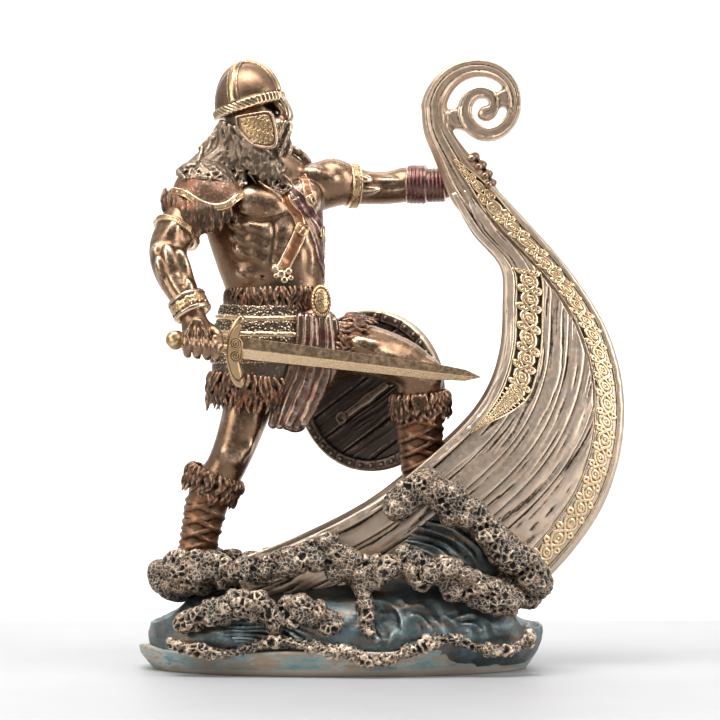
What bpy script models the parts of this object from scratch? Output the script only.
"""A Viking warrior who grips the prow of a longship above breaking waves.

The statue is one casting: plinth, waves, prow, warrior and shield. The sword is a piece of its
own, and its grip runs through a bore in the warrior's fist. The front faces -Y and the prow
points to +X. The origin is the middle of the plinth's underside.
"""

import math

import bmesh
import bpy
import numpy as np
from mathutils import Matrix, Vector

MM = 0.001

# Driving sizes, in millimetres.
STATUE_HEIGHT = 265.0
PLINTH_LENGTH = 176.0
PLINTH_DEPTH = 96.0
PLINTH_HEIGHT = 12.5
PLINTH_FLARE = 7.0
PLINTH_RIM_SWELL = 2.2
HULL_WALL = 3.4
STRAKE_WIDTH = 8.2
STRAKE_LAP = 0.9
GUNWALE_WIDTH = 5.6
STEM_EDGE_WIDTH = 3.2
STEM_BAND_WIDTH = 12.0
STEM_THICKNESS = 9.0
SHIELD_RADIUS = 35.6
SHIELD_THICKNESS = 2.6
SHIELD_RIM_WIDTH = 4.4
SHIELD_RIM_RISE = 1.4
SHIELD_GROOVE_WIDTH = 1.0
SHIELD_PLANKS = 6
BLADE_LENGTH = 106.0
BLADE_WIDTH = 9.8
BLADE_THICKNESS = 3.0
BLADE_POINT_LENGTH = 20.0
GUARD_LENGTH = 33.0
GUARD_WIDTH = 6.4
GUARD_THICKNESS = 6.0
GRIP_RADIUS = 2.7
GRIP_LENGTH = 20.0
POMMEL_RADIUS = 4.4
FIST_CLEARANCE = 0.3
FIST_TO_GUARD = 1.2

# The carving keeps its proportions: its points are millimetres at this height, above this base.
CARVED_AT_HEIGHT = 265.0
CARVED_BASE = 4.8
SCALE = STATUE_HEIGHT / CARVED_AT_HEIGHT

# The sea is carved for this plinth, and stretches with it.
CARVED_PLINTH_LENGTH = 176.0
CARVED_PLINTH_DEPTH = 96.0

# Fineness of the carved forms, and the share of their faces that is kept.
CARVING_GRAIN = 0.9
WARRIOR_FACES_KEPT = 0.0175
WAVE_FACES_KEPT = 0.0101

# Sword: middle of the fist, and the way that the blade points.
FIST = (-58.5, -36.0, 145.6)
BLADE_SLOPE_DEG = -7.0

# Shield: its middle, how it turns about the vertical, and how its planks run.
SHIELD_MIDDLE = (13.5, 12.0, 125.7)
SHIELD_TURN_DEG = -27.0
SHIELD_PLANK_ANGLE_DEG = 34.0

# Helmet: middle of the brim's plane, its radii and height, and how far it leans back.
HELMET_MIDDLE = (-39.8, -1.0, 250.6)
HELMET_RADII = (14.6, 14.0)
HELMET_RISE = 19.5
HELMET_LEAN_DEG = -14.0
FACE_TURN_DEG = -24.0

# Scroll: its eye, and the centreline's radius and half width at each quarter turn.
SCROLL_EYE = (64.4, 250.5)
SCROLL_QUARTERS = [
    (23.2, 5.7),
    (16.2, 3.8),
    (12.2, 3.0),
    (12.6, 3.2),
    (9.4, 3.3),
    (5.2, 2.3),
    (3.0, 2.3),
    (3.6, 2.8),
]
SCROLL_HALF_DEPTH = 4.6

# Prow: the stem's outer line and the gunwale, from the neck aft, with the gunwale's half beam.
STEM_LINE = [
    (67.0, 215.6),
    (83.2, 198.4),
    (102.9, 175.2),
    (117.8, 149.8),
    (124.2, 121.8),
    (121.3, 92.4),
    (109.1, 65.3),
    (84.0, 38.0),
    (50.0, 22.0),
    (10.0, 15.0),
    (-30.0, 13.0),
]
GUNWALE_LINE = [
    (48.6, 211.6, 5.0),
    (58.5, 194.6, 7.0),
    (70.6, 180.0, 9.0),
    (71.8, 163.0, 12.5),
    (70.9, 145.0, 17.0),
    (66.0, 128.5, 21.0),
    (56.0, 113.5, 25.0),
    (38.1, 96.8, 29.0),
    (12.0, 76.5, 32.0),
    (-17.5, 61.3, 33.0),
    (-45.1, 50.4, 32.0),
]
STRAKES = 5
DECK_SHARE = 0.74


def clear_scene():
    for obj in list(bpy.data.objects):
        bpy.data.objects.remove(obj)


def spot(point):
    """A point of the carving, in metres above the plinth's underside."""
    x, y, z = point
    return Vector((x, y, z - CARVED_BASE)) * SCALE * MM


def spline(rows, steps):
    """Points on a smooth curve through the rows, with this many steps to a span."""
    rows = np.asarray(rows, float)
    padded = np.vstack([2 * rows[0] - rows[1], rows, 2 * rows[-1] - rows[-2]])
    found = []
    for k in range(1, len(rows)):
        before, start, end, after = padded[k - 1 : k + 3]
        for i in range(steps):
            t = i / steps
            linear = 2 * start + (end - before) * t
            square = (2 * before - 5 * start + 4 * end - after) * t**2
            cube = (3 * start - before - 3 * end + after) * t**3
            found.append(0.5 * (linear + square + cube))
    found.append(rows[-1])
    return np.array(found)


def material(name, colour, roughness, metallic):
    made = bpy.data.materials.new(name)
    made.use_nodes = True
    shader = made.node_tree.nodes["Principled BSDF"]
    shader.inputs["Base Color"].default_value = (*colour, 1)
    shader.inputs["Roughness"].default_value = roughness
    shader.inputs["Metallic"].default_value = metallic
    return made


def object_from(bm, name):
    """A linked object that takes the bmesh, with its faces turned outwards."""
    bmesh.ops.recalc_face_normals(bm, faces=bm.faces)
    mesh = bpy.data.meshes.new(name)
    bm.to_mesh(mesh)
    bm.free()
    obj = bpy.data.objects.new(name, mesh)
    bpy.context.collection.objects.link(obj)
    return obj


def join(target, other, operation):
    """Adds a Boolean with another object, which stays as a hidden helper."""
    other.hide_render = True
    other.display_type = "WIRE"
    modifier = target.modifiers.new(f"{operation.lower()} {other.name}", "BOOLEAN")
    modifier.operation = operation
    modifier.solver = "EXACT"
    modifier.object = other
    return target


def shells(bm):
    """The faces of each closed shell."""
    waiting = set(bm.faces)
    found = []
    while waiting:
        shell = [waiting.pop()]
        for face in shell:
            for edge in face.edges:
                for near in edge.link_faces:
                    if near in waiting:
                        waiting.remove(near)
                        shell.append(near)
        found.append(shell)
    return found


def settled(obj):
    """Fixes the object's finished mesh, as its one outer shell with nothing loose or sealed in."""
    graph = bpy.context.evaluated_depsgraph_get()
    finished = bpy.data.meshes.new_from_object(obj.evaluated_get(graph))
    bm = bmesh.new()
    bm.from_mesh(finished)
    inner = sorted(shells(bm), key=len)[:-1]
    bmesh.ops.delete(bm, geom=[face for shell in inner for face in shell], context="FACES")
    bm.to_mesh(finished)
    bm.free()
    obj.modifiers.clear()
    obj.data = finished
    return obj


def bridge(bm, rings):
    """Quads between neighbouring rings of vertices, and a cap on each end."""
    count = len(rings[0])
    for low, high in zip(rings, rings[1:]):
        for i in range(count):
            j = (i + 1) % count
            bm.faces.new((low[i], low[j], high[j], high[i]))
    bm.faces.new(list(reversed(rings[0])))
    bm.faces.new(rings[-1])


def tube(bm, stations, sides=10, steps=3, dome=0.8, place=spot):
    """A limb or a roll through stations of x, y, z, half width and half depth.

    The width lies across the limb in the front view, and the depth away from it.
    """
    rows = spline(stations, steps)
    headings = np.gradient(rows[:, :3], axis=0)
    headings /= np.linalg.norm(headings, axis=1)[:, None]
    rows, headings = list(rows), list(headings)
    ends = ((rows[0].copy(), headings[0], -1), (rows[-1].copy(), headings[-1], 1))
    for share, shrink in ((0.5, 0.85), (0.85, 0.45)):
        for end, way, sign in ends:
            cap = end.copy()
            cap[:3] += sign * way * share * dome * end[3:].mean()
            cap[3:] *= shrink
            at = 0 if sign < 0 else len(rows)
            rows.insert(at, cap)
            headings.insert(at, way)
    rings = []
    for row, way in zip(rows, headings):
        way = Vector(way)
        side = way.cross(Vector((0, 1, 0)))
        if side.length < 0.25:
            side = Vector((1, 0, 0)) - way * way.x
        side.normalize()
        deep = side.cross(way)
        ring = []
        for i in range(sides):
            turn = math.tau * (i + 0.5) / sides
            offset = side * row[3] * math.cos(turn) + deep * row[4] * math.sin(turn)
            ring.append(bm.verts.new(place(Vector(row[:3]) + offset)))
        rings.append(ring)
    bridge(bm, rings)


def blob(bm, middle, radii, turn=(0, 0, 0), place=spot):
    """An ellipsoid, turned by degrees about X, Y and Z."""
    spin = Matrix.Identity(3)
    for angle, axis in zip(turn, "XYZ"):
        spin = Matrix.Rotation(math.radians(angle), 3, axis) @ spin
    made = bmesh.ops.create_icosphere(bm, subdivisions=2, radius=1)
    for vert in made["verts"]:
        vert.co = place(Vector(middle) + spin @ Vector(a * b for a, b in zip(vert.co, radii)))


def tuft(bm, root, out, down, length, width):
    """One lock of fur: it leaves the surface, curls down and ends in a point."""
    root, out, down = Vector(root), Vector(out), Vector(down)
    points = [
        (root - out * width * 0.5, width),
        (root + out * width * 0.5 + down * length * 0.3, width),
        (root + out * width * 0.4 + down * length * 0.75, width * 0.75),
        (root + down * length, width * 0.3),
    ]
    tube(bm, [(*point, half, half) for point, half in points], sides=6, steps=1)


def fur_ring(bm, middle, axis, radii, count, length, width):
    """Locks of fur round a limb. The axis points the way that the locks hang."""
    axis = Vector(axis).normalized()
    across = axis.cross(Vector((0, 1, 0))).normalized()
    deep = axis.cross(across)
    for i in range(count):
        turn = math.tau * i / count
        out = across * math.cos(turn) + deep * math.sin(turn)
        root = Vector(middle) + across * radii[0] * math.cos(turn) + deep * radii[1] * math.sin(turn)
        tuft(bm, root, out, axis, length * (1.0 if i % 2 else 0.8), width)


def cuff(bm, middle, axis, radius, half_width):
    """A raised band round an arm or a leg."""
    way = Vector(axis).normalized() * half_width
    low, high = Vector(middle) - way, Vector(middle) + way
    tube(bm, [(*low, radius, radius), (*high, radius, radius)], sides=12, steps=1, dome=0.05)


def legs(bm):
    tube(
        bm,
        [
            (-35.5, 0, 140, 14, 14),
            (-39.8, -3, 120, 10.8, 11.5),
            (-45.8, -7, 101, 9.0, 9.6),
            (-51.6, -7, 88, 8.4, 8.8),
        ],
    )
    blob(bm, (-47.5, -14.5, 99.5), (5.2, 4.2, 5.6), (0, 20, 0))
    tube(
        bm,
        [
            (-53, -6, 88, 7.8, 8),
            (-57.6, -4, 77, 8.6, 8.6),
            (-60.2, -3, 66, 7.7, 7.8),
            (-62.8, -2, 50, 7, 7.4),
        ],
    )
    tube(
        bm,
        [
            (-10, -2, 142, 14, 14),
            (8, -8, 143.5, 11.6, 12.5),
            (25, -13, 138.5, 10.4, 11.5),
            (35, -14, 132, 9.4, 10),
        ],
    )
    blob(bm, (38, -18, 133), (6.4, 6.5, 6.6))
    tube(
        bm,
        [
            (34.6, -13, 131, 9.2, 10),
            (34.5, -10, 115, 9.8, 10),
            (35, -7, 103, 9.4, 9.4),
            (37, -5, 80, 8, 8),
        ],
    )
    tube(bm, [(34, -2, 80, 5.5, 6), (41, -10, 78, 6, 6), (46, -19, 77, 4.5, 4)])
    fur_ring(bm, (-54.2, -6, 87.0), (-0.45, 0.05, -1), (9.2, 9.2), 13, 8.5, 2.9)
    fur_ring(bm, (34.5, -11, 120.5), (0.1, 0.1, -1), (9.8, 9.8), 13, 8.5, 2.9)
    for share in (0.15, 0.45, 0.75):
        right_shin = (-57 - 5 * share, -4 + 2 * share, 78 - 26 * share)
        left_shin = (34.6 + 2 * share, -9 + 3 * share, 111 - 24 * share)
        cuff(bm, right_shin, (-0.25, 0, -1), 9.2 - 1.6 * share, 1.6)
        cuff(bm, left_shin, (0.05, 0, -1), 10.6 - 1.0 * share, 1.6)


def torso(bm):
    tube(
        bm,
        [
            (-27.5, 0, 138, 18.5, 13.5),
            (-28.5, 0, 152, 20.5, 14),
            (-28.5, -1, 170, 21.5, 13.5),
            (-31, -1, 187, 24.5, 14.5),
            (-33.5, 0, 203, 26.5, 14.5),
            (-33.5, 2, 214, 23.5, 12),
            (-35, 2, 222, 13, 10),
        ],
        sides=14,
    )
    tube(bm, [(-36.5, 1, 218, 9.5, 9.5), (-38.5, 0, 232, 8, 8), (-39.5, -1, 240, 8, 8)])
    blob(bm, (-38, -11.5, 207.5), (12, 6.2, 8.2), (0, 8, 0))
    blob(bm, (-16, -8.5, 209.5), (9.5, 6.8, 8.2), (0, 0, 35))
    for row in range(3):
        for column in (-40.0, -32.4):
            blob(bm, (column + 0.5 * row, -13.4 + 0.4 * row, 194.6 - 7.4 * row), (3.7, 3.0, 3.3))
    for row in range(3):
        blob(bm, (-51 + 1.2 * row, -8.5, 199 - 6.4 * row), (3.4, 4.4, 2.3), (0, -30, 0))
    blob(bm, (-35.5, -12.8, 175.5), (9.5, 3, 5))
    blob(bm, (-17, -10.5, 190), (6, 4.5, 12), (0, -10, 0))


def right_arm(bm):
    blob(bm, (-59, -8, 208), (12.5, 12, 12))
    tube(
        bm,
        [
            (-60, -9, 207, 10.5, 11),
            (-68, -14, 198, 9.8, 10),
            (-73.6, -20, 187.5, 8.8, 9.2),
            (-71.6, -26, 177, 8.4, 8.4),
            (-66, -32, 166, 6.8, 6.6),
            (-62.5, -35, 158, 5.5, 5.5),
            (-60.5, -36, 151, 6.4, 6.2),
        ],
    )
    blob(bm, (-64, -18.5, 197), (5, 5.6, 8), (0, 35, 0))
    cuff(bm, (-64.5, -33, 162.6), (0.42, -0.3, -0.9), 7.6, 3.0)
    cuff(bm, (-66.5, -13, 200.5), (-0.6, -0.35, -0.8), 11.4, 1.5)
    half_grip = GRIP_LENGTH / 2 / SCALE - FIST_TO_GUARD
    blob(bm, FIST, (half_grip, 7.4, 7.6), (0, -BLADE_SLOPE_DEG, 0))
    for finger in range(4):
        x = FIST[0] + half_grip * (-0.72 + 0.47 * finger)
        blob(bm, (x, FIST[1] - 5.0, FIST[2] - 1.5 - 0.6 * finger), (0.25 * half_grip, 3.4, 5.6))


def left_arm(bm):
    tube(
        bm,
        [
            (-12, 4, 215, 11.5, 11),
            (0, 8, 217, 10, 10),
            (10, 12, 215.8, 7.8, 8.5),
            (21, 15, 215.8, 7.5, 8),
            (31, 15, 217.4, 8.0, 8),
            (43, 13, 216.8, 6.6, 6.6),
            (51, 12, 218, 5.2, 5.6),
            (57, 10.5, 220, 5.8, 5),
        ],
    )
    blob(bm, (-3, 5, 220), (10, 9, 8.4), (0, 10, 0))
    cuff(bm, (5.2, 9.5, 216.2), (1, 0.3, -0.02), 9.6, 2.2)
    for band in range(4):
        cuff(bm, (35 + 4.2 * band, 14.4 - 0.6 * band, 217.2), (1, -0.15, 0.0), 8.1 - 0.55 * band, 1.2)
    for finger in range(4):
        x = 57.0 + 3.2 * finger
        z = 225.0 - 3.6 * finger
        knuckle = (x - 4, 9.5, z - 3, 2.2, 2.2)
        middle = (x + 2, 7, z, 2.2, 2.2)
        tip = (x + 2.4, 1, z + 0.4, 1.9, 1.9)
        tube(bm, [knuckle, middle, tip], sides=6, steps=1)


def lock(bm, start, end, width, wave, lift):
    """One lock of hair that waves on its way from start to end, standing off the body by lift."""
    start, end = Vector(start), Vector(end)
    side = (end - start).cross(Vector((0, 1, 0))).normalized()
    stations = []
    for k in range(5):
        share = k / 4
        point = start.lerp(end, share)
        point += side * wave * math.sin(math.tau * 0.75 * share)
        point.y -= lift * math.sin(math.pi * share)
        half = width * (1 - 0.55 * share**2)
        stations.append((*point, half, half * 0.9))
    tube(bm, stations, sides=6, steps=1)


def hair_and_beard(bm):
    blob(bm, (-38.5, -1.5, 243), (11.6, 11.6, 15), (0, HELMET_LEAN_DEG, 0))
    blob(bm, (-43, 1, 226), (15, 13, 10), (0, -20, 0))
    for i in range(7):
        share = i / 6
        start = (-49 + 12 * share, -6 - 5 * math.sin(1.6 * share), 238 - 4 * share)
        end = (-69 + 37 * share, -12 - 6 * share, 221 - 7 * math.sin(1.5 * share))
        lock(bm, start, end, 3.6, 1.5 if i % 2 else -1.2, 2.5)
    for i in range(8):
        share = i / 7
        start = (-43 + 17.5 * share, -12 + 3 * share, 234 - 1.5 * share)
        end = (-54 + 38 * share, -17.5 + 3.5 * share, 212.5 - 4 * math.sin(math.pi * share) + 3 * share)
        lock(bm, start, end, 3.3, 1.8 if i % 2 else -1.6, 2.0)
    for i in range(7):
        share = i / 6
        start = (-49 + 19 * share, 6 + 4 * math.sin(math.pi * share), 239)
        end = (-62 + 42 * share, 12 + 4 * math.sin(math.pi * share), 214)
        lock(bm, start, end, 4.4, 1.2 if i % 2 else -1.2, -2.0)


def shoulder_armour(bm):
    blob(bm, (-58.5, -9, 210.5), (14.2, 13.6, 13), (0, 25, 0))
    border = [(-74.5, -10, 209.5), (-66, -22.5, 206.5), (-55, -24, 204.5), (-43.5, -19.5, 212.5)]
    tube(bm, [(*point, 1.6, 1.9) for point in border], sides=6)
    for i in range(11):
        share = i / 10
        sag = math.sin(math.pi * share)
        root = (-74.5 + 31 * share, -12 - 10 * sag, 204.5 - 7 * sag + 4 * share)
        tuft(bm, root, (0.2 * (share - 0.5), -1, 0), (0.1, 0, -1), 8.5 if i % 2 else 7, 2.5)


def straps(bm):
    long_strap = [(-24, -16.5, 215), (-16, -16, 206), (-10.5, -13, 190), (-7, -9, 172)]
    tube(bm, [(*point, 3, 1.8) for point in long_strap], sides=6)
    short_strap = [(-16, -16, 201), (-20, -16.2, 188), (-25, -16, 179)]
    tube(bm, [(*point, 3.2, 1.6) for point in short_strap], sides=6)
    blob(bm, (-26, -16.5, 177), (4.2, 2.4, 3.6))


def kilt(bm):
    tube(
        bm,
        [
            (-28.5, 0, 171, 21.5, 15),
            (-30.5, -1, 158, 23, 16.5),
            (-32, -2, 145, 24, 17.5),
            (-34.5, -2, 132, 21.5, 17),
        ],
        sides=14,
    )
    blob(bm, (-4, -6, 147), (14, 14, 9), (0, 14, 0))
    fur_ring(bm, (-28.5, -1, 172), (0.0, 0.0, -1), (20.8, 13.8), 21, 8.5, 3.1)
    fur_ring(bm, (-34.5, -2, 131.5), (-0.05, 0, -1), (20.4, 16), 19, 9.5, 3.3)
    fur_ring(bm, (4, -7, 147.5), (1, -0.1, -0.25), (9.6, 10.6), 12, 8, 2.6)
    for row in range(3):
        z = 161 - 7.2 * row
        out = -15.5 - 0.9 * row
        outer = [(-47, -11, z - 1), (-40, out - 1.5, z - 0.4)]
        inner = [(-31, out - 2.6, z), (-22, out - 0.5, z + 0.8)]
        tube(bm, [(*point, 2.9, 2.4) for point in outer + inner], sides=8, steps=2)
    blob(bm, (-9.5, -13.5, 166), (5.4, 4.5, 7.4), (0, 8, 0))
    for fold in range(4):
        x = -19.5 + 4.3 * fold
        y = -16.5 - 1.5 * (fold % 2)
        stations = [
            (x + 1, -14, 159, 2.2, 3.2),
            (x, y, 140, 2.5, 3.2),
            (x - 1.5, y + 0.5, 125, 2.8, 3.2),
            (x - 3.5 + fold, -14, 113 + 2.5 * fold, 2.4, 2.6),
        ]
        tube(bm, stations, sides=6)


def carved(obj, share):
    """Fuses overlapping forms into one skin, softens it and keeps a share of its faces."""
    fuse = obj.modifiers.new("fuse", "REMESH")
    fuse.mode = "VOXEL"
    fuse.voxel_size = CARVING_GRAIN * SCALE * MM
    soften = obj.modifiers.new("soften", "SMOOTH")
    soften.factor = 0.5
    soften.iterations = 1
    thin = obj.modifiers.new("thin", "DECIMATE")
    thin.ratio = share
    return settled(obj)


def warrior():
    bm = bmesh.new()
    for carve in (legs, torso, right_arm, left_arm, hair_and_beard, shoulder_armour, straps, kilt):
        carve(bm)
    figure = carved(object_from(bm, "warrior"), WARRIOR_FACES_KEPT)
    for part in helmet_parts():
        join(figure, part, "UNION")
    return figure


def helmet_spot(x, y, z):
    """A point of the helmet: x towards the face, z up from the brim's plane."""
    lean = Matrix.Rotation(math.radians(HELMET_LEAN_DEG), 3, "Y")
    turn = Matrix.Rotation(math.radians(FACE_TURN_DEG), 3, "Z")
    return spot(Vector(HELMET_MIDDLE) + lean @ turn @ Vector((x, y, z)))


def helmet_parts():
    """The cap with its raised brim and crossing bands, the nose guard and the near cheek guard."""
    sides = 24
    bands = range(0, sides, sides // 4)
    profile = [(0.80, -2.4), (1.04, -2.4), (1.09, -0.6), (1.09, 1.4), (1.03, 1.9)]
    for degrees in (8, 28, 46, 62, 78):
        climb = math.radians(degrees)
        profile.append((math.cos(climb), HELMET_RISE * math.sin(climb)))
    bm = bmesh.new()
    rings = []
    for share, z in profile:
        ring = []
        for i in range(sides):
            turn = math.tau * i / sides
            lift = 1.05 if i in bands and z > 1.9 else 1.0
            x = HELMET_RADII[0] * share * lift * math.cos(turn)
            y = HELMET_RADII[1] * share * lift * math.sin(turn)
            ring.append(bm.verts.new(helmet_spot(x, y, z * (lift if z > 0 else 1))))
        rings.append(ring)
    bridge(bm, rings)
    cap = object_from(bm, "helmet")
    bm = bmesh.new()
    rings = []
    sections = [(3, 12.6, 2.6), (-2, 15.4, 2.4), (-7, 15.8, 1.9), (-11, 15.2, 2.5), (-12.5, 14.6, 1.4)]
    for z, reach, half in sections:
        corners = [(reach - 3.4, -half), (reach, -half * 0.5), (reach, half * 0.5), (reach - 3.4, half)]
        rings.append([bm.verts.new(helmet_spot(x, y, z)) for x, y in corners])
    bridge(bm, rings)
    nose_guard = object_from(bm, "nose_guard")
    outline = [
        (-45.8, 246.8),
        (-30.6, 248.6),
        (-27.2, 240.4),
        (-27.6, 231.4),
        (-34, 233.8),
        (-40.6, 237.6),
        (-44.8, 242.2),
    ]
    middle = Vector((sum(x for x, z in outline), 0, sum(z for x, z in outline))) / len(outline)
    bm = bmesh.new()
    rings = []
    for y, share in ((-9.0, 1.0), (-13.4, 1.0), (-14.2, 0.93), (-13.6, 0.84), (-14.4, 0.5)):
        ring = []
        for x, z in outline:
            point = middle.lerp(Vector((x, 0, z)), share)
            point.y = y + 0.16 * (point.x - middle.x)
            ring.append(bm.verts.new(spot(point)))
        rings.append(ring)
    bridge(bm, rings)
    cheek_guard = object_from(bm, "cheek_guard")
    return cap, nose_guard, cheek_guard


def sea_spot(point):
    """A point of the sea, which stretches with the plinth."""
    x, y, z = point
    place = spot((x, y, z))
    place.x = x * PLINTH_LENGTH / CARVED_PLINTH_LENGTH * MM
    place.y = y * PLINTH_DEPTH / CARVED_PLINTH_DEPTH * MM
    return place


def mound():
    """The body of water, with the hollows that the crests curl over."""
    bm = bmesh.new()
    stations = [
        (-58, 0, 20, 17, 34),
        (-35, 0, 21, 21, 43),
        (0, 0, 22, 25, 45.5),
        (35, 0, 23, 28, 44),
        (60, 0, 22, 22, 35),
    ]
    tube(bm, stations, sides=20, steps=2, place=sea_spot)
    body = object_from(bm, "mound")
    bm = bmesh.new()
    box(bm, (0, 0, -PLINTH_LENGTH / 2 + 2), (2 * PLINTH_LENGTH, 2 * PLINTH_LENGTH, PLINTH_LENGTH))
    join(body, object_from(bm, "below_the_sea"), "DIFFERENCE")
    hollows = [
        ((-72, -30, 36), (12, 16, 6), -8),
        ((-48, -46, 41), (13, 9, 4.5), -4),
        ((-20, -50, 42), (15, 11, 6), -8),
        ((18, -49, 33), (10, 11, 12), 0),
        ((40, -50, 36), (11, 12, 10), 20),
        ((60, -46, 31), (9, 11, 7), 0),
        ((-30, -50, 24), (16, 9, 5), 0),
        ((-78, 0, 33), (12, 26, 8), 0),
        ((80, 0, 29), (10, 30, 7), 0),
        ((-10, 50, 36), (46, 10, 8), 0),
    ]
    for middle, radii, lean in hollows:
        bm = bmesh.new()
        blob(bm, middle, radii, (0, lean, 0), place=sea_spot)
        join(body, object_from(bm, "hollow"), "DIFFERENCE")
    return settled(body)


def foam(bm, stations, lumps=6):
    """A roll of foam along a crest, with lumps that break its outline."""
    tube(bm, stations, sides=8, steps=2, place=sea_spot)
    rows = spline(stations, lumps)
    for i, (x, y, z, high, deep) in enumerate(rows[1:-1]):
        turn = 2.4 * i + x
        reach = 0.55 + 0.15 * math.sin(1.7 * i)
        outward = math.copysign(abs(math.cos(turn)), y)
        middle = (x, y + 0.62 * deep * outward, z + 0.62 * high * math.sin(turn))
        size = high * reach
        blob(bm, middle, (size * 1.15, size, size), place=sea_spot)


def waves():
    """The sea: the mound, and foam along the crests that break against the prow."""
    body = mound()
    bm = bmesh.new()
    bm.from_mesh(body.data)
    bpy.data.objects.remove(body)
    crests = [
        [
            (-76, -10, 45.5, 8, 8),
            (-68, -16, 47.5, 8, 8),
            (-56, -20, 48.5, 7, 7),
            (-46, -27, 47.5, 5, 5),
        ],
        [(-73, 14, 44, 8, 8), (-60, 20, 46, 7.5, 8), (-44, 28, 44, 7, 7)],
        [(-70, 0, 43, 11, 14), (-58, 0, 45, 10.5, 15), (-46, 0, 43, 9, 16)],
        [
            (-42, -31, 49, 4.5, 5),
            (-27, -35, 52, 6, 6),
            (-13, -36, 56.5, 6, 6),
            (-2, -36, 58, 6, 6),
            (4, -36, 50, 5.5, 6),
        ],
        [
            (-66, -34, 27, 4, 5),
            (-55, -40, 32, 5, 5),
            (-42, -42, 36, 5.5, 5),
            (-31, -42, 34, 5, 5),
            (-27, -41, 26, 4, 4),
        ],
        [(-26, -40, 31, 4.5, 5), (-13, -42, 33, 5.5, 5), (-2, -42, 27, 5, 5)],
        [
            (-1, -36, 53, 6, 6),
            (13, -38, 48.5, 6, 6),
            (27, -39, 51.5, 6.5, 6),
            (44, -40, 48, 7, 7),
            (59, -38, 42, 7, 7),
            (73, -33, 37, 6.5, 7),
        ],
        [
            (24, -34, 78.5, 6, 6),
            (37, -34, 84, 7.5, 6),
            (50, -34, 77, 7.5, 7),
            (64, -32, 65, 7.5, 7),
            (76, -28, 53, 7.5, 8),
            (84, -22, 43, 7.5, 9),
        ],
        [(9, -38, 47, 4.5, 5), (11, -41, 34, 4, 4), (12, -43, 25, 4, 4)],
        [(78, -20, 42, 7, 9), (84, -8, 41, 7, 9), (82, 8, 41, 7, 9), (75, 20, 42, 7.5, 9)],
        [
            (-42, 32, 45, 6.5, 6),
            (-14, 35, 49, 7, 6),
            (14, 36, 48, 7, 6),
            (44, 34, 51, 8, 7),
            (64, 30, 47, 8, 7),
        ],
        [
            (-58, 36, 24, 5, 6),
            (-30, 41, 28, 6, 6),
            (0, 42, 27, 6, 6),
            (36, 41, 28, 6, 6),
            (60, 35, 26, 6, 7),
        ],
    ]
    for stations in crests:
        foam(bm, stations)
    tube(bm, [(20, -28, 64, 8, 10), (42, -27, 66, 9, 9), (60, -25, 55, 8, 9)], sides=9, place=sea_spot)
    return carved(object_from(bm, "waves"), WAVE_FACES_KEPT)


def plinth():
    """A low oval slab whose side flares outwards up to a gently swelling rim."""
    bm = bmesh.new()
    sides = 40
    rings = []
    for share, flare in ((0, 1), (0.3, 0.5), (1, 0), (1, -0.25)):
        ring = []
        for i in range(sides):
            turn = math.tau * i / sides
            x = (PLINTH_LENGTH / 2 - PLINTH_FLARE * abs(flare)) * math.cos(turn)
            y = (PLINTH_DEPTH / 2 - PLINTH_FLARE * abs(flare)) * math.sin(turn)
            wave = math.cos(turn) - 0.6 * math.sin(turn) ** 2 + 0.3 * math.sin(6 * turn)
            z = (PLINTH_HEIGHT + PLINTH_RIM_SWELL * wave) * share
            ring.append(bm.verts.new(Vector((x, y, z)) * MM))
        rings.append(ring)
    bridge(bm, rings)
    return object_from(bm, "plinth")


def hull_profile(width, beam):
    """The near skin from stem to gunwale: (share of the way up, half breadth) pairs."""
    half_stem = STEM_THICKNESS / 2 / SCALE
    lap = STRAKE_LAP / SCALE
    edge = STEM_EDGE_WIDTH / SCALE / width
    band = edge + min(STEM_BAND_WIDTH / SCALE / width, 0.4)
    top = 1 - min(GUNWALE_WIDTH / SCALE / width, 0.12)

    def skin(v, lift=0.0):
        return half_stem + (beam - half_stem) * math.sin(0.5 * math.pi * v) ** 0.85 + lift

    profile = [(0, half_stem * 0.75), (0.25 * edge, half_stem)]
    profile += [(edge, half_stem), (edge, skin(edge, -0.9))]
    profile += [(band, skin(band, -0.9)), (band, skin(band, 0.4))]
    lowest = band + 0.01
    seams = []
    for k in range(STRAKES, 0, -1):
        spread = 0.012 * (STRAKES - k)
        seams.append(max(top - k * STRAKE_WIDTH / SCALE / width, lowest + spread))
    for low, high in zip(seams, seams[1:] + [top]):
        profile += [(low, skin(low, 0)), (high - 0.004, skin(high, -lap))]
    profile += [(top, skin(top, 0.8)), (1, skin(1, 0.8))]
    return profile, skin(1), skin(DECK_SHARE)


def hull():
    """The bow: an open U section swept from the neck aft, its lapped strakes along the gunwale."""
    steps = 2
    bm = bmesh.new()
    rings = []
    for (sx, sz), (gx, gz, beam) in zip(spline(STEM_LINE, steps), spline(GUNWALE_LINE, steps)):
        across = Vector((gx - sx, 0, gz - sz))
        profile, at_rail, at_deck = hull_profile(across.length, beam)
        wall = min(HULL_WALL / SCALE, 0.55 * beam)
        near = profile + [(1, at_rail - wall), (DECK_SHARE, at_deck - wall)]
        loop = [(v, -breadth) for v, breadth in near] + [(v, breadth) for v, breadth in reversed(near)]
        rings.append([bm.verts.new(spot(Vector((sx, y, sz)) + across * v)) for v, y in loop])
    bridge(bm, rings)
    return object_from(bm, "hull")


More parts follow.
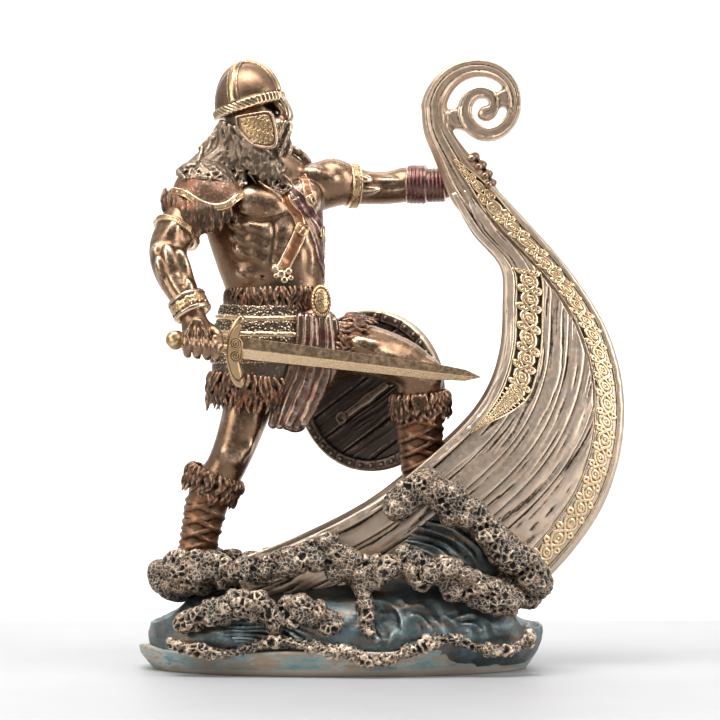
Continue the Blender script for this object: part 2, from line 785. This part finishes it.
def scroll():
    """The spiral head of the stem and the neck that carries it."""
    neck = [(66.5, 202.5, 8.6), (57.5, 213.5, 9.8), (47.8, 229.5, 6.9), (42.6, 240.0, 6.0)]
    rows = list(neck)
    turns = [(quarter * 90.0, *sizes) for quarter, sizes in enumerate(SCROLL_QUARTERS)]
    for angle, radius, half_width in spline(turns, 4):
        turn = math.radians(180 - angle)
        x = SCROLL_EYE[0] + radius * math.cos(turn)
        z = SCROLL_EYE[1] + radius * math.sin(turn)
        rows.append((x, z, half_width))
    rows = np.array(rows)
    headings = np.gradient(rows[:, :2], axis=0)
    headings /= np.linalg.norm(headings, axis=1)[:, None]
    section = [(-1, 0.5), (-0.65, 1), (0.65, 1), (1, 0.5)]
    bm = bmesh.new()
    rings = []
    for (x, z, half_width), (hx, hz) in zip(rows, headings):
        ring = []
        for side in (-1, 1):
            for across, deep in section if side < 0 else reversed(section):
                reach = across * half_width
                place = (x - hz * reach, side * deep * SCROLL_HALF_DEPTH, z + hx * reach)
                ring.append(bm.verts.new(spot(place)))
        rings.append(ring)
    bridge(bm, rings)
    spiral = object_from(bm, "scroll")
    bm = bmesh.new()
    blob(bm, (51.0, 0, 244.5), (5.0, 3.4, 4.0))
    blob(bm, (71.8, 0, 253.5), (4.0, 3.2, 4.0))
    return join(spiral, object_from(bm, "scroll_webs"), "UNION")


def box(bm, middle, size):
    """A cuboid in millimetres."""
    place = Matrix.Translation(Vector(middle) * MM)
    bmesh.ops.create_cube(bm, size=1, matrix=place @ Matrix.Diagonal((*(Vector(size) * MM), 1)))


def shield():
    """A round shield seen from inside: planks, a raised rim and the hand bar."""
    sides = 36
    front, back = -SHIELD_THICKNESS / 2, SHIELD_THICKNESS / 2
    inside = SHIELD_RADIUS - SHIELD_RIM_WIDTH
    profile = [
        (inside, front),
        (inside, front - SHIELD_RIM_RISE),
        (SHIELD_RADIUS, front - SHIELD_RIM_RISE),
        (SHIELD_RADIUS, back),
        (SHIELD_RADIUS * 0.6, back + 1.6),
    ]
    bm = bmesh.new()
    rings = []
    for radius, y in profile:
        ring = []
        for i in range(sides):
            t = math.tau * i / sides
            ring.append(bm.verts.new(Vector((radius * math.cos(t), y, radius * math.sin(t))) * MM))
        rings.append(ring)
    bridge(bm, rings)
    disc = object_from(bm, "shield")
    pitch = 2 * inside / SHIELD_PLANKS
    helpers = []
    for k in range(1, SHIELD_PLANKS):
        offset = pitch * k - inside
        run = math.sqrt(inside**2 - offset**2) - 0.5
        bm = bmesh.new()
        box(bm, (0, front, offset), (2 * run, SHIELD_THICKNESS * 0.4, SHIELD_GROOVE_WIDTH))
        helpers.append(object_from(bm, "plank_groove"))
        join(disc, helpers[-1], "DIFFERENCE")
    bm = bmesh.new()
    box(bm, (-0.05 * SHIELD_RADIUS, front - 0.9, -0.5 * pitch), (0.95 * SHIELD_RADIUS, 3.4, 3.6))
    helpers.append(object_from(bm, "hand_bar"))
    join(disc, helpers[-1], "UNION")
    turn = Matrix.Rotation(math.radians(SHIELD_TURN_DEG), 4, "Z")
    turn = turn @ Matrix.Rotation(math.radians(-SHIELD_PLANK_ANGLE_DEG), 4, "Y")
    for part in [disc] + helpers:
        part.matrix_world = Matrix.Translation(spot(SHIELD_MIDDLE)) @ turn
    return disc


def sword_frame():
    """The sword's own X runs along the blade from the middle of the grip."""
    return Matrix.Translation(spot(FIST)) @ Matrix.Rotation(math.radians(-BLADE_SLOPE_DEG), 4, "Y")


def bar(bm, x0, x1, radius, sides=14):
    """A round bar along X."""
    rings = []
    for x in (x0, x1):
        ring = []
        for i in range(sides):
            t = math.tau * i / sides
            ring.append(bm.verts.new(Vector((x, radius * math.cos(t), radius * math.sin(t))) * MM))
        rings.append(ring)
    bridge(bm, rings)


def fist_bore():
    bm = bmesh.new()
    bar(bm, -GRIP_LENGTH, GRIP_LENGTH, GRIP_RADIUS + FIST_CLEARANCE)
    bore = object_from(bm, "fist_bore")
    bore.matrix_world = sword_frame()
    return bore


def blade(bm, start):
    """A diamond section that tapers gently, then runs to its point."""
    point_share = 1 - BLADE_POINT_LENGTH / BLADE_LENGTH
    rings = []
    for share, wide, thick in ((0, 1, 1), (point_share, 0.74, 0.85), (0.94, 0.5, 0.6), (1, 0.04, 0.1)):
        x = start + BLADE_LENGTH * share
        half, deep = BLADE_WIDTH / 2 * wide, BLADE_THICKNESS / 2 * thick
        corners = [(0, half), (-deep, 0), (0, -half), (deep, 0)]
        rings.append([bm.verts.new(Vector((x, y, z)) * MM) for y, z in corners])
    bridge(bm, rings)


def guard(bm, middle):
    """A bar that bows towards the blade and narrows to its ends."""
    steps = 8
    section = [(-1, -0.7), (-0.6, -1), (0.6, -1), (1, -0.7), (1, 0.7), (0.6, 1), (-0.6, 1), (-1, 0.7)]
    rings = []
    for k in range(steps + 1):
        share = 2 * k / steps - 1
        bow = middle + 0.13 * GUARD_LENGTH * abs(share) ** 2.5
        half = GUARD_WIDTH / 2 * (1 - 0.45 * abs(share))
        deep = GUARD_THICKNESS / 2 * (1 - 0.4 * abs(share))
        z = share * GUARD_LENGTH / 2
        rings.append([bm.verts.new(Vector((bow + a * half, b * deep, z)) * MM) for a, b in section])
    bridge(bm, rings)


def sword():
    """Blade, bowed guard, grip and pommel, made as one piece."""
    guard_at = GRIP_LENGTH / 2 + GUARD_WIDTH / 2
    bm = bmesh.new()
    blade(bm, guard_at)
    whole = object_from(bm, "sword")
    bm = bmesh.new()
    guard(bm, guard_at)
    join(whole, object_from(bm, "guard"), "UNION")
    bm = bmesh.new()
    bar(bm, -GRIP_LENGTH / 2 - POMMEL_RADIUS, guard_at, GRIP_RADIUS)
    join(whole, object_from(bm, "grip"), "UNION")
    bm = bmesh.new()
    place = Matrix.Translation(Vector((-GRIP_LENGTH / 2 - POMMEL_RADIUS, 0, 0)) * MM)
    bmesh.ops.create_uvsphere(bm, u_segments=10, v_segments=7, radius=POMMEL_RADIUS * MM, matrix=place)
    join(whole, object_from(bm, "pommel"), "UNION")
    for part in [whole] + [modifier.object for modifier in whole.modifiers]:
        part.matrix_world = sword_frame()
    whole.data.materials.append(material("sword_bronze", (0.55, 0.40, 0.24), 0.35, 0.9))
    return whole


def statue():
    """The one casting: every carved form fused to the plinth, and the fist bored for the grip."""
    casting = plinth()
    casting.name = "statue"
    for part in (waves(), hull(), scroll(), warrior(), shield()):
        join(casting, part, "UNION")
    join(casting, fist_bore(), "DIFFERENCE")
    settled(casting)
    casting.data.materials.clear()
    casting.data.materials.append(material("cast_bronze", (0.33, 0.22, 0.14), 0.45, 0.8))
    return casting


clear_scene()
statue()
sword()
